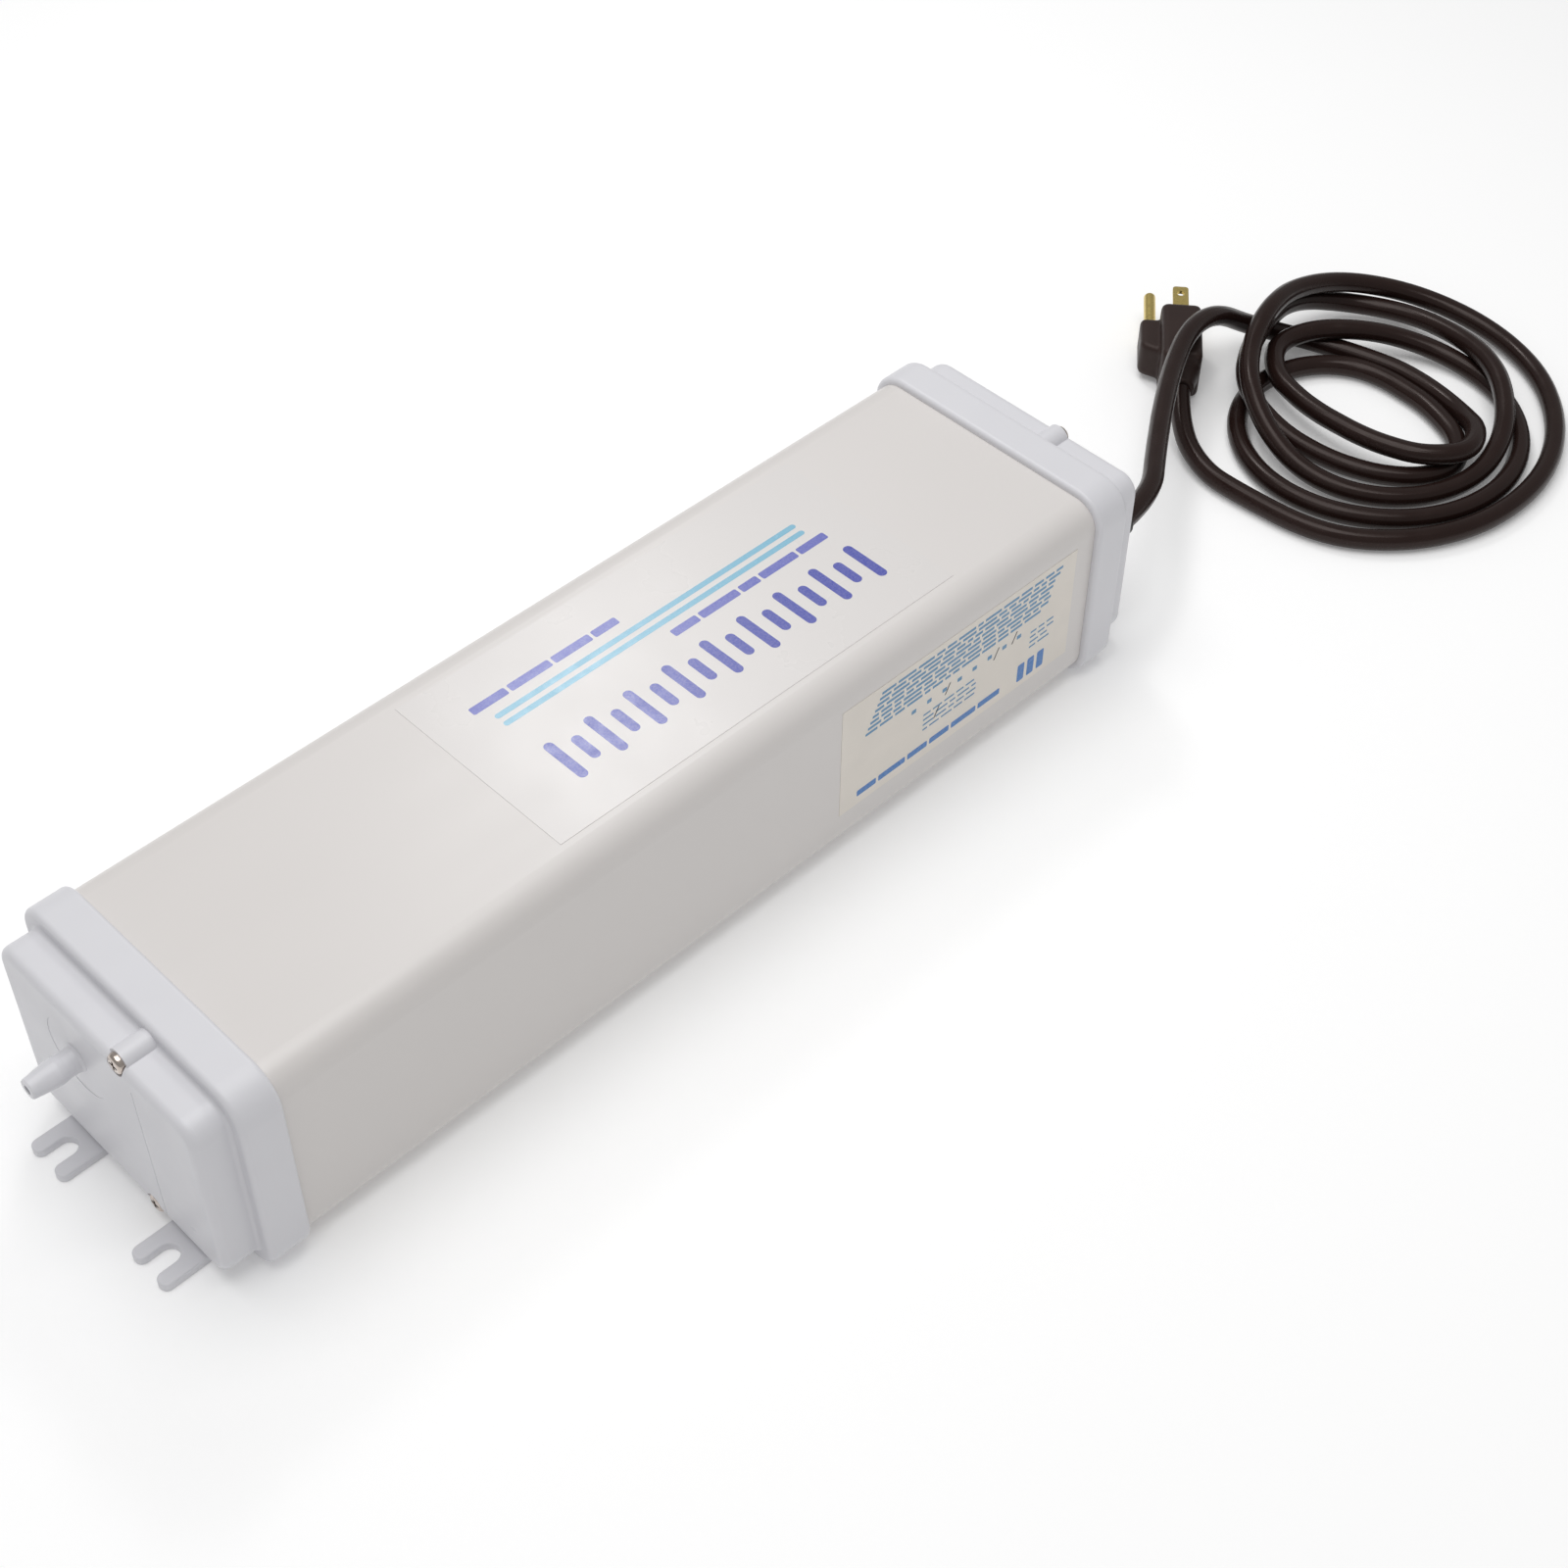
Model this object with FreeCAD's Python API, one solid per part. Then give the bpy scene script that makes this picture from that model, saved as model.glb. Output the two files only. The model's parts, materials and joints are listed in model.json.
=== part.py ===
import FreeCAD, Part
import math
import os

os.makedirs("parts", exist_ok=True)

# Wall-mounted spa UV ozone generator, lying on its mounting side.
# Millimetres. +X runs from the hose-nipple end to the cord end, +Z is up.
# The origin is on the mounting plane, at the middle of the housing's box.

V = FreeCAD.Vector
X_AXIS = V(1, 0, 0)
Y_AXIS = V(0, 1, 0)
Z_AXIS = V(0, 0, 1)

# Housing extrusion, a nominal 4 x 3 inch rectangular tube
tube_width = 101.6
tube_height = 76.2
tube_wall = 2.5
tube_corner = 9.5
collar_proud = 2.5
tube_bottom = collar_proud
tube_top = tube_bottom + tube_height
mid_z = tube_bottom + tube_height / 2
tube_end = 181.7
web_y = -12.0
web_thickness = 2.0

# End caps
lip_x = 170.7
collar_x = 185.2
face_x = 197.4
cap_wall = 2.5
face_step = 5.5
collar_corner = 12.0
face_corner = 7.5
face_edge = 3.0
collar_edge = 2.0
slip_clearance = 0.05
rim_edge = 1.7
face_root_fillet = 1.4
gasket_thickness = 1.0
gasket_lip = 0.3
shoulder_x = tube_end + gasket_thickness
cavity_x = face_x - cap_wall
collar_width = tube_width + 2 * collar_proud
collar_height = tube_height + 2 * collar_proud
face_width = collar_width - 2 * face_step
face_height = collar_height - 2 * face_step

# Cap screws, number 6 pan heads into ports of the extrusion
screw_z_offset = 33.7
screw_boss_radius = 4.5
screw_radius = 1.75
screw_hole_radius = 1.95
screw_length = 26.0
screw_head_radius = 3.4
screw_head_height = 2.2
screw_recess_radius = 3.7
screw_seat_x = face_x - 2.0
port_radius = 3.4
port_hole_radius = screw_radius + slip_clearance

# Labels, thin films on the top and on the -Y side
label_thickness = 0.15
top_label_x = (-58.0, 112.0)
top_label_half_width = 39.0
side_label_x = (49.0, 162.0)
side_label_z = (19.0, 67.0)

# Mounting forks
fork_y = 26.3
fork_width = 18.0
fork_thickness = 3.0
fork_slot_width = 7.0
fork_tip_x = 211.5
fork_slot_end_x = 200.2
fork_block_x = 194.5
fork_block_height = 6.5
fork_edge = 0.6
fork_overlap = 3.0

# Hose nipple, for 5/16 inch soft hose
nipple_y = 13.0
nipple_z = 54.0
nipple_tip_x = 213.7
nipple_bore = 1.6
nipple_flange_radius = 4.8
ring_mark_radius = 14.0
mark_depth = 0.12
gate_mark_y = -34.0
gate_mark_z = 17.4
gate_mark_radius = 2.0
gate_mark_depth = 0.5
# The nipple's outline, as its distance from the face and its radius
nipple_outline = [(-1, 0), (-1, nipple_flange_radius), (0, nipple_flange_radius), (0.8, 4.3), (2.2, 4.1),
                  (4.4, 4.1), (6.6, 4.4), (8.8, 4.3), (nipple_tip_x - face_x - 0.5, 3.4),
                  (nipple_tip_x - face_x, 3.1), (nipple_tip_x - face_x, 0)]
parting_line_y = -18.3
parting_line_z = (8.0, 68.0)
parting_line_half_width = 0.15

# Filtered air inlet in the cord-end cap
inlet_z = 50.0
inlet_cup_depth = 5.0
inlet_cup_radius = 8.0
filter_pocket_radius = 6.2
filter_radius = 6.1
filter_thickness = 4.0
inlet_hole_count = 5
inlet_hole_radius = 0.9
inlet_hole_circle = 3.0

# Single-ended four-pin quartz lamp, 357 mm between its faces
lamp_y = 20.0
lamp_z = 33.0
lamp_front_x = -191.9
lamp_length = 357.0
lamp_rear_x = lamp_front_x + lamp_length
lamp_glass_radius = 7.5
lamp_glass_wall = 1.0
lamp_cap_radius = 8.4
lamp_cap_length = 21.0
lamp_pin_radius = 1.0
lamp_pin_length = 7.0
lamp_pin_spacing = 4.2
lamp_tip_seat = 4.0
lamp_base_seat = 5.0
lamp_cup_radius = 14.0
lamp_cup_pocket = 12.0
lamp_cup_depth = 11.0
electrode_inset = 40.0
electrode_radius = 0.9
electrode_length = 7.0
electrode_post_radius = 0.4
electrode_post_length = 12.0
electrode_post_offset = 3.0

# Lamp socket and its bracket on the web
socket_gap = 0.3
socket_rear_x = 186.0
socket_size = 22.0
socket_corner = 4.0
socket_lead_in_radius = 1.6
socket_wire_radius = 0.75
contact_radius = 1.55
bracket_thickness = 1.5
bracket_plate_x = 176.0
bracket_flange_x = 158.0
bracket_half_height = 17.0
bracket_reach = 16.0
bracket_clearance = 0.1
bracket_screw_x = 165.0
bracket_screw_spread = 11.0
bracket_screw_radius = 1.5

# Reflector liner, one bent sheet
liner_x = (-165.0, 150.0)
liner_top = 60.0
liner_sheet = 0.5
liner_bend = 7.6
liner_floor_gap = 0.1
liner_web_gap = 3.9
liner_side_gap = 0.2

# Electronic ballast
ballast_x0 = 20.0
ballast_x1 = 150.0
ballast_y0 = -45.0
ballast_y1 = -18.0
ballast_pad_thickness = 1.5
ballast_z0 = tube_bottom + tube_wall + ballast_pad_thickness
ballast_z1 = 50.0
ballast_wall = 1.5
ballast_lid = 1.2
ballast_mid_y = (ballast_y0 + ballast_y1) / 2
lid_top = ballast_z1 + ballast_lid
cover_screw_x = (ballast_x0 + 3, ballast_x1 - 3)
board_screw_x = (ballast_x0 + 10, ballast_x1 - 10)
board_post_radius = 3.0
board_post_height = 4.0
board_thickness = 1.6
board_z = ballast_z0 + ballast_wall + board_post_height
board_top = board_z + board_thickness
board_edge_gap = 2.5
board_x = (ballast_x0 + 3.0, ballast_x1 - 8.0)
board_hole_radius = 1.1
ballast_slot_y = (ballast_y0 + 3.0, ballast_y0 + 22.0)
cover_post_half_width = 3.0
cover_post_height = 8.0
cover_thread_radius = 1.3
cover_thread_depth = 5.0
cover_hole_radius = 1.5
pad_x = (ballast_x0 + 6.0, ballast_x1 - 6.0)
pad_y = (ballast_y0 + 7.0, ballast_y1 - 1.0)
# Small screws as shank radius, length, head radius and head height
board_screw_size = (0.9, 1.5, 2.0, 1.3)
cover_screw_size = (1.25, 5.5, 2.6, 1.6)
ballast_slot_heights = ((11.0, 27.0), (31.0, 39.0))
terminal_thickness = 0.8
terminal_eye_radius = 3.4
terminal_hole_radius = 1.4
terminal_tail_length = 7.0
terminal_half_width = 1.5

# Parts on the board, as (x0, x1, half width, height) or (x, y offset, radius, height)
inductor_flange = (62.0, 84.0, 9.0, 5.0)
inductor_core = (65.0, 81.0, 7.0, 10.0)
round_capacitors = ((40.0, 0.0, 6.0, 22.0), (53.0, 4.0, 4.0, 14.0))
film_capacitor = (92.0, 104.0, 4.0, 12.0)
transistors = ((112.0, 122.0, 2.2, 18.0), (126.0, 136.0, 2.2, 18.0))

# Mains cord, three cores of AWG 18 in a round jacket
cord_radius = 4.05
gland_y = -31.0
gland_z = 36.0
gland_end_x = nipple_tip_x
bushing_hole_radius = 7.25
bushing_barrel_radius = 7.2
bushing_flange_radius = 8.6
bushing_flange = 2.5
bushing_taper = (7.0, 5.1)

# Wiring inside the housing
core_radius = 0.9
input_wire_radius = 0.8
lamp_wire_radius = 0.7
lamp_wire_bend_x = 190.6
lamp_wire_lane = 1.6
lamp_wire_start_y = ballast_y0 + 5.5
lamp_wire_start_z = 14.0
lamp_wire_pitch = (3.0, 4.0)
crimp_radius = 2.1
crimp_x = (160.0, 172.0)
core_spread = 4.4
cord_inside_x = cavity_x - 8

# Plug, NEMA 5-15, lying on its side
plug_angle = 40.0
plug_face = 297.0
plug_across = -186.0
plug_mid_z = 11.5
blade_spacing = 12.7
blade_width = 6.35
blade_thickness = 1.5
blade_length = 16.3
blade_tip_radius = 1.4
blade_hole_radius = 1.6
blade_hole_inset = 4.5
ground_offset = 11.9
ground_radius = 2.4
ground_length = 23.0
ground_face = plug_face - 4.5
ground_block_top = 17.5
ground_tip_radius = 1.8
ground_block_x = (plug_face - 18.0, ground_face)
ground_block_y = (2.0, 16.5)
ground_block_bottom = 2.0
ground_block_edge = 2.2
plug_length = 36.0
plug_half_width = 8.5
plug_edge = 2.5
plug_wedge = [(plug_face - 30.0, 7.0), (plug_face - 17.0, 7.0), (plug_face - 17.0, 14.5)]
relief_start = plug_face - 43.0
relief_radii = (5.6, 7.2)
relief_length = 8.0


def save(name, shape):
    """Write one node and report its validity and volume."""
    shape.exportStep("parts/" + name + ".step")
    state = "ok" if shape.isValid() else "INVALID"
    print(name, state, len(shape.Solids), round(shape.Volume, 1))


def fuse_all(shapes):
    """Fuse a list of shapes into one clean solid."""
    result = shapes[0].multiFuse(shapes[1:])
    return result.removeSplitter()


def box(x0, x1, y0, y1, z0, z1):
    """Plain block between two corners."""
    return Part.makeBox(x1 - x0, y1 - y0, z1 - z0, V(x0, y0, z0))


def rod(x0, x1, y, z, radius):
    """Round bar along X."""
    return Part.makeCylinder(radius, x1 - x0, V(x0, y, z), X_AXIS)


def ring(x0, x1, y, z, outer, inner):
    """Round sleeve along X."""
    return rod(x0, x1, y, z, outer).cut(rod(x0, x1, y, z, inner))


def prism(x0, x1, width, height, corner):
    """Block along X with four rounded long edges, centred on the housing."""
    block = box(x0, x1, -width / 2, width / 2, mid_z - height / 2, mid_z + height / 2)
    long_edges = [e for e in block.Edges if e.BoundBox.XLength > (x1 - x0) / 2]
    return block.makeFillet(corner, long_edges)


def edges_at_x(shape, x):
    """Edges that lie in the plane at x."""
    found = []
    for edge in shape.Edges:
        b = edge.BoundBox
        if abs(b.XMin - x) < 0.01 and abs(b.XMax - x) < 0.01:
            found.append(edge)
    return found


def route_wire(points, label=""):
    """Straight runs joined by tangent arcs, as large as the two runs allow."""
    pts = [V(*p) for p in points]
    edges = []
    radii = []
    start = pts[0]
    for before, corner, after in zip(pts, pts[1:], pts[2:]):
        way_in = (corner - before).normalize()
        way_out = (after - corner).normalize()
        half_turn = way_in.getAngle(way_out) / 2
        tangent = 0.45 * min((corner - before).Length, (after - corner).Length)
        radius = tangent / math.tan(half_turn)
        towards_centre = (way_out - way_in).normalize()
        reach = radius / math.cos(half_turn) - radius
        arc_start = corner - way_in * tangent
        arc_end = corner + way_out * tangent
        edges.append(Part.LineSegment(start, arc_start).toShape())
        edges.append(Part.Arc(arc_start, corner + towards_centre * reach, arc_end).toShape())
        radii.append(round(radius, 1))
        start = arc_end
    edges.append(Part.LineSegment(start, pts[-1]).toShape())
    if label:
        print(label, "radii", radii)
    return Part.Wire(edges)


def tube_along(points, radius, label=""):
    """Round solid swept along a route, checked against section times length."""
    path = route_wire(points, label)
    direction = V(*points[1]) - V(*points[0])
    section = Part.Wire(Part.makeCircle(radius, V(*points[0]), direction))
    solid = path.makePipeShell([section], True, True)
    if label:
        expected = math.pi * radius ** 2 * path.Length
        print(label, "length", round(path.Length, 1), "volume ratio", round(solid.Volume / expected, 4))
    return solid


def screw(x, y, z, shank, length, head, height, thick=0.9):
    """Pan-head cross-recess screw pointing to -X, with its head's seat at x."""
    top = rod(x, x + height, y, z, head)
    top = top.makeFillet(height * 0.6, edges_at_x(top, x + height))
    body = top.fuse(rod(x - length, x, y, z, shank))
    depth = height * 0.55
    reach = head * 0.55
    slot_a = box(x + height - depth, x + height, y - reach, y + reach, z - thick / 2, z + thick / 2)
    slot_b = box(x + height - depth, x + height, y - thick / 2, y + thick / 2, z - reach, z + reach)
    return body.cut(slot_a).cut(slot_b)


def flip(shape):
    """Mirror a shape made for the +X end onto the -X end."""
    return shape.mirror(V(0, 0, 0), X_AXIS)


screw_heights = (mid_z + screw_z_offset, mid_z - screw_z_offset)
bracket_screw_heights = (lamp_z - bracket_screw_spread, lamp_z + bracket_screw_spread)


# ---------------------------------------------------------------- housing
def housing_tube():
    """Extruded tube with a full-length web and two screw ports."""
    shell = prism(-tube_end, tube_end, tube_width, tube_height, tube_corner)
    inner = prism(-tube_end, tube_end, tube_width - 2 * tube_wall,
                  tube_height - 2 * tube_wall, tube_corner - tube_wall)
    web = box(-tube_end, tube_end, web_y - web_thickness / 2, web_y + web_thickness / 2,
              tube_bottom + 1, tube_top - 1)
    parts = [shell.cut(inner), web]
    for z in screw_heights:
        parts.append(rod(-tube_end, tube_end, web_y, z, port_radius))
    tube = fuse_all(parts)
    for z in screw_heights:
        tube = tube.cut(rod(-tube_end, tube_end, web_y, z, port_hole_radius))
    for z in bracket_screw_heights:
        tube = tube.cut(Part.makeCylinder(bracket_screw_radius + slip_clearance, 6,
                                          V(bracket_screw_x, web_y - 3, z), Y_AXIS))
    return tube


def fork(y):
    """Open-ended U-slot foot with two round prongs and a thick root."""
    prong_radius = (fork_width - fork_slot_width) / 4
    side_a = y - fork_width / 2
    side_b = y + fork_width / 2
    plate = box(collar_x - fork_overlap, fork_tip_x, side_a, side_b, 0, fork_thickness)
    slot_centre = fork_slot_end_x + fork_slot_width / 2
    plate = plate.cut(box(slot_centre, fork_tip_x + 1, y - fork_slot_width / 2,
                          y + fork_slot_width / 2, -1, fork_thickness + 1))
    plate = plate.cut(Part.makeCylinder(fork_slot_width / 2, fork_thickness + 2,
                                        V(slot_centre, y, -1), Z_AXIS))
    tips = [e for e in plate.Edges
            if e.BoundBox.ZLength > fork_thickness - 0.1 and abs(e.BoundBox.XMin - fork_tip_x) < 0.01]
    plate = plate.makeFillet(prong_radius - 0.2, tips)
    top_edges = [e for e in plate.Edges
                 if abs(e.BoundBox.ZMin - fork_thickness) < 0.01 and e.BoundBox.XMax > collar_x]
    plate = plate.makeFillet(fork_edge, top_edges)
    block = box(collar_x - fork_overlap, fork_block_x, side_a, side_b, 0, fork_block_height)
    return plate.fuse(block)


def end_cap():
    """Moulded cap: collar over the tube, raised face, screw bosses and forks."""
    collar = prism(lip_x, collar_x, collar_width, collar_height, collar_corner)
    collar = collar.makeFillet(rim_edge, edges_at_x(collar, lip_x))
    collar = collar.makeFillet(collar_edge, edges_at_x(collar, collar_x))
    face = prism(collar_x - 1, face_x, face_width, face_height, face_corner)
    face = face.makeFillet(face_edge, edges_at_x(face, face_x))
    body = fuse_all([collar, face])
    root = [e for e in edges_at_x(body, collar_x) if abs(e.BoundBox.Center.y) < face_width / 2 + 0.1
            and e.BoundBox.ZMin > face_step - 0.1 and e.BoundBox.ZMax < collar_height - face_step + 0.1
            and abs(e.BoundBox.YMin) < face_width / 2 + 0.1 and abs(e.BoundBox.YMax) < face_width / 2 + 0.1]
    body = body.makeFillet(face_root_fillet, root)
    parts = [body]
    for z in screw_heights:
        parts.append(rod(collar_x - 1, screw_seat_x, web_y, z, screw_boss_radius))
    for y in (-fork_y, fork_y):
        parts.append(fork(y))
    body = fuse_all(parts)
    pocket = prism(lip_x - 1, shoulder_x, tube_width + 2 * slip_clearance,
                   tube_height + 2 * slip_clearance, tube_corner + slip_clearance)
    cavity = prism(shoulder_x - 1, cavity_x, face_width - 2 * cap_wall,
                   face_height - 2 * cap_wall, face_corner - cap_wall)
    for z in screw_heights:
        cavity = cavity.cut(rod(shoulder_x - 2, cavity_x, web_y, z, screw_boss_radius))
    body = body.cut(pocket).cut(cavity)
    for z in screw_heights:
        body = body.cut(rod(lip_x, face_x + 1, web_y, z, screw_hole_radius))
        body = body.cut(rod(screw_seat_x, face_x + 1, web_y, z, screw_recess_radius))
    return body


def gasket():
    """Flat seal between the tube's end and the cap's shoulder."""
    outer = prism(tube_end, shoulder_x, tube_width - 0.2, tube_height - 0.2, tube_corner - 0.1)
    inner = prism(tube_end - 1, shoulder_x + 1, face_width - 2 * cap_wall + 2 * gasket_lip,
                  face_height - 2 * cap_wall + 2 * gasket_lip, face_corner - cap_wall + gasket_lip)
    for z in screw_heights:
        inner = inner.cut(rod(tube_end - 1, shoulder_x + 1, web_y, z, screw_boss_radius))
    seal = outer.cut(inner)
    for z in screw_heights:
        seal = seal.cut(rod(tube_end - 1, shoulder_x + 1, web_y, z, screw_hole_radius + gasket_lip))
    return seal


def cap_screws():
    """The two screws of one cap."""
    screws = []
    for z in screw_heights:
        screws.append(screw(screw_seat_x, web_y, z, screw_radius, screw_length,
                            screw_head_radius, screw_head_height))
    return Part.makeCompound(screws)


def nipple():
    """Barbed hose nipple, revolved about its own axis, as moulded on the cap."""
    points = [V(face_x + x, nipple_y, nipple_z + r) for x, r in nipple_outline]
    profile = Part.Face(Part.makePolygon(points + [points[0]]))
    return profile.revolve(V(0, nipple_y, nipple_z), X_AXIS, 360)


def front_end_cap():
    """Nipple-end cap, with the inner cup that carries the lamp's end."""
    cup = ring(cavity_x - lamp_cup_depth, cavity_x + 0.5, lamp_y, lamp_z, lamp_cup_radius, lamp_cup_pocket)
    body = fuse_all([end_cap(), nipple(), cup])
    body = body.cut(rod(cavity_x - 1, nipple_tip_x + 1, nipple_y, nipple_z, nipple_bore))
    disc = ring(face_x - mark_depth, face_x + 1, nipple_y, nipple_z, ring_mark_radius, nipple_flange_radius)
    parting = box(face_x - mark_depth, face_x + 1, parting_line_y - parting_line_half_width,
                  parting_line_y + parting_line_half_width, *parting_line_z)
    gate = Part.makeSphere(gate_mark_radius, V(face_x + gate_mark_radius - gate_mark_depth,
                                               gate_mark_y, gate_mark_z))
    return flip(body.cut(disc).cut(parting).cut(gate))


def rear_end_cap():
    """Cord-end cap, with the bushing's hole and the filtered air inlet."""
    cup = ring(cavity_x - inlet_cup_depth, cavity_x + 0.5, lamp_y, inlet_z,
               inlet_cup_radius, filter_pocket_radius)
    body = fuse_all([end_cap(), cup])
    body = body.cut(rod(cavity_x - 1, face_x + 1, gland_y, gland_z, bushing_hole_radius))
    for k in range(inlet_hole_count):
        angle = 2 * math.pi * k / inlet_hole_count
        body = body.cut(rod(cavity_x - 1, face_x + 1, lamp_y + inlet_hole_circle * math.cos(angle),
                            inlet_z + inlet_hole_circle * math.sin(angle), inlet_hole_radius))
    return body


save("housing_tube", housing_tube())
save("front_end_cap", front_end_cap())
save("rear_end_cap", rear_end_cap())
save("front_gasket", flip(gasket()))
save("rear_gasket", gasket())
save("front_cap_screws", flip(cap_screws()))
save("rear_cap_screws", cap_screws())
save("inlet_filter", rod(cavity_x - filter_thickness, cavity_x, lamp_y, inlet_z, filter_radius))


# ---------------------------------------------------------------- labels
def top_label():
    """Clear printed film on the top face."""
    return box(*top_label_x, -top_label_half_width, top_label_half_width,
               tube_top, tube_top + label_thickness)


def side_label():
    """Rating label on the -Y side."""
    return box(*side_label_x, -tube_width / 2 - label_thickness, -tube_width / 2, *side_label_z)


save("top_label", top_label())
save("side_label", side_label())


# ---------------------------------------------------------------- lamp
def lamp_glass():
    """Quartz tube, closed and domed at its front, open inside its base."""
    x0 = lamp_front_x + lamp_tip_seat
    x1 = lamp_rear_x - lamp_base_seat
    return ring(x0, x1, lamp_y, lamp_z, lamp_glass_radius, lamp_glass_radius - lamp_glass_wall)


def lamp_end(x0, x1, open_x0, open_x1):
    """Ceramic end cap with the pocket that the glass sits in."""
    body = rod(x0, x1, lamp_y, lamp_z, lamp_cap_radius)
    body = body.makeFillet(0.8, edges_at_x(body, x0) + edges_at_x(body, x1))
    return body.cut(rod(open_x0, open_x1, lamp_y, lamp_z, lamp_glass_radius))


def four_pins(x0, x1, radius):
    """Four bars along X on the lamp's pin square."""
    bars = []
    for dy in (-lamp_pin_spacing, lamp_pin_spacing):
        for dz in (-lamp_pin_spacing, lamp_pin_spacing):
            bars.append(rod(x0, x1, lamp_y + dy, lamp_z + dz, radius))
    return Part.makeCompound(bars)


def electrode(x, sign):
    """Coiled cathode, as a short bar on two support wires."""
    coil = Part.makeCylinder(electrode_radius, electrode_length,
                             V(x, lamp_y - electrode_length / 2, lamp_z), Y_AXIS)
    far_x = x + electrode_post_length * sign
    posts = [rod(min(x, far_x), max(x, far_x), lamp_y + dy, lamp_z, electrode_post_radius)
             for dy in (-electrode_post_offset, electrode_post_offset)]
    return fuse_all([coil] + posts)


def lamp_holder():
    """Rubber grommet between the cap's cup and the lamp's end."""
    return flip(ring(cavity_x - lamp_cup_depth, cavity_x - 0.2, lamp_y, lamp_z,
                     lamp_cup_pocket, lamp_cap_radius))


def lamp_socket():
    """Four-pin socket with lead-in holes."""
    half = socket_size / 2
    x0 = lamp_rear_x + socket_gap
    body = box(x0, socket_rear_x, lamp_y - half, lamp_y + half, lamp_z - half, lamp_z + half)
    long_edges = [e for e in body.Edges if e.BoundBox.XLength > 10]
    body = body.makeFillet(socket_corner, long_edges)
    body = body.cut(four_pins(x0 - 1, socket_rear_x - 2, socket_lead_in_radius))
    return body.cut(four_pins(socket_rear_x - 3, socket_rear_x + 1, socket_wire_radius))


def socket_contacts():
    """Four sleeve contacts that grip the lamp's pins."""
    sleeves = []
    x0 = lamp_rear_x + socket_gap + 1
    for dy in (-lamp_pin_spacing, lamp_pin_spacing):
        for dz in (-lamp_pin_spacing, lamp_pin_spacing):
            sleeves.append(ring(x0, socket_rear_x - 2.2, lamp_y + dy, lamp_z + dz,
                                contact_radius, lamp_pin_radius + slip_clearance))
    return Part.makeCompound(sleeves)


def socket_bracket():
    """Folded plate that holds the socket on the web."""
    half = socket_size / 2
    web_face = web_y + web_thickness / 2
    low = lamp_z - bracket_half_height
    high = lamp_z + bracket_half_height
    plate_end = bracket_plate_x + bracket_thickness
    plate = box(bracket_plate_x, plate_end, web_face, lamp_y + bracket_reach, low, high)
    opening = half + bracket_clearance
    hole = box(bracket_plate_x - 1, plate_end + 1, lamp_y - opening, lamp_y + opening,
               lamp_z - opening, lamp_z + opening)
    flange = box(bracket_flange_x, plate_end, web_face, web_face + bracket_thickness, low, high)
    bracket = fuse_all([plate.cut(hole), flange])
    for z in bracket_screw_heights:
        bracket = bracket.cut(Part.makeCylinder(bracket_screw_radius + 2 * slip_clearance, 5,
                                                V(bracket_screw_x, web_face - 1, z), Y_AXIS))
    return bracket


def socket_bracket_screws():
    """Two screws through the bracket's flange into the web."""
    screws = []
    seat = web_y + web_thickness / 2 + bracket_thickness
    for z in bracket_screw_heights:
        one = screw(0, 0, 0, bracket_screw_radius, 3.2, 2.8, 1.7)
        one.rotate(V(0, 0, 0), Z_AXIS, 90)
        one.translate(V(bracket_screw_x, seat, z))
        screws.append(one)
    return Part.makeCompound(screws)


def bent_block(x0, x1, y0, y1, z0, z1, radius):
    """Block along X with its two lower long edges rounded."""
    block = box(x0, x1, y0, y1, z0, z1)
    lower = [e for e in block.Edges if e.BoundBox.XLength > (x1 - x0) / 2 and e.BoundBox.ZMax < z0 + 1]
    return block.makeFillet(radius, lower)


def reflector_liner():
    """Bent aluminium sheet that shields the plastic from the lamp."""
    low = tube_bottom + tube_wall + liner_floor_gap
    left = web_y + liner_web_gap
    right = tube_width / 2 - tube_wall - liner_side_gap
    x0, x1 = liner_x
    outer = bent_block(x0, x1, left, right, low, liner_top, liner_bend)
    inner = bent_block(x0 - 1, x1 + 1, left + liner_sheet, right - liner_sheet, low + liner_sheet,
                       liner_top + 1, liner_bend - liner_sheet)
    return outer.cut(inner)


save("lamp_glass", lamp_glass())
save("lamp_tip_cap", lamp_end(lamp_front_x, lamp_front_x + lamp_cap_length,
                              lamp_front_x + lamp_tip_seat, lamp_front_x + lamp_cap_length + 1))
save("lamp_base", lamp_end(lamp_rear_x - lamp_cap_length, lamp_rear_x,
                           lamp_rear_x - lamp_cap_length - 1, lamp_rear_x - lamp_base_seat))
save("lamp_pins", four_pins(lamp_rear_x, lamp_rear_x + lamp_pin_length, lamp_pin_radius))
save("lamp_electrodes", Part.makeCompound([electrode(lamp_front_x + electrode_inset, -1),
                                           electrode(lamp_rear_x - electrode_inset, 1)]))
save("lamp_holder", lamp_holder())
save("lamp_socket", lamp_socket())
save("socket_contacts", socket_contacts())
save("socket_bracket", socket_bracket())
save("socket_bracket_screws", socket_bracket_screws())
save("reflector_liner", reflector_liner())


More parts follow.
